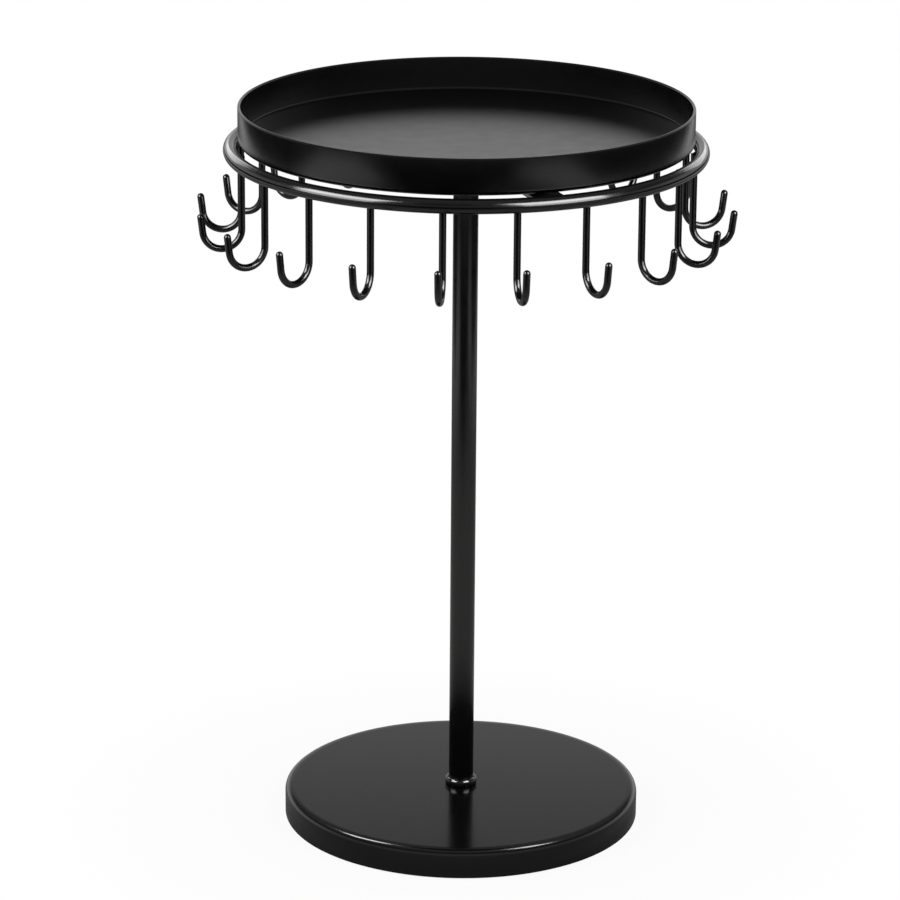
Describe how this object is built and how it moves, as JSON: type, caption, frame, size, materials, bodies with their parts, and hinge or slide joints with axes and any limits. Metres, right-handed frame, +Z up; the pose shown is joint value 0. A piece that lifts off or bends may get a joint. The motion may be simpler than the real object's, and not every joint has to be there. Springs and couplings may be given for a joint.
{
  "type": "necklace holder",
  "caption": "Table-top necklace holder: round weighted base, pole that turns on it, wire ring of J hooks for chains, and a shallow round tray on top.",
  "frame": {"origin": "middle of the base pad's lower face, on the table", "axes": "+Z up along the pole, -Y towards the viewer of the picture, +X to the viewer's right"},
  "size_m": [0.2126, 0.2126, 0.2967],
  "materials": {
    "base_coat": "black satin powder coat",
    "pole_coat": "black semi-gloss powder coat",
    "wire_coat": "black semi-gloss powder coat",
    "tray_coat": "black satin powder coat",
    "bush_acetal": "glossy black acetal",
    "plated_steel": "bright zinc plate",
    "ballast_steel": "as-rolled steel",
    "pad_foam": "matt non-slip foam"
  },
  "bodies": {
    "base": {"base_cover": "base_coat", "ballast_plate": "ballast_steel", "base_pad": "pad_foam", "pivot_bush": "bush_acetal"},
    "rotor": {"thrust_washer": "plated_steel", "pivot_bolt": "plated_steel", "pole_tube": "pole_coat", "pole_foot_insert": "plated_steel", "pole_top_insert": "plated_steel", "hook_ring": "wire_coat", "ring_crossbar": "wire_coat", "tray": "tray_coat", "tray_stud": "wire_coat", "hook_01": "wire_coat", "hook_02": "wire_coat", "hook_03": "wire_coat", "hook_04": "wire_coat", "hook_05": "wire_coat", "hook_06": "wire_coat", "hook_07": "wire_coat", "hook_08": "wire_coat", "hook_09": "wire_coat", "hook_10": "wire_coat", "hook_11": "wire_coat", "hook_12": "wire_coat", "hook_13": "wire_coat", "hook_14": "wire_coat", "hook_15": "wire_coat", "hook_16": "wire_coat", "hook_17": "wire_coat", "hook_18": "wire_coat", "hook_19": "wire_coat", "hook_20": "wire_coat"}
  },
  "joints": [
    {"name": "pole_spin", "type": "hinge", "parent": "base", "child": "rotor", "pos_m": [0, 0, 0], "axis": [0, 0, 1], "continuous": true}
  ]
}
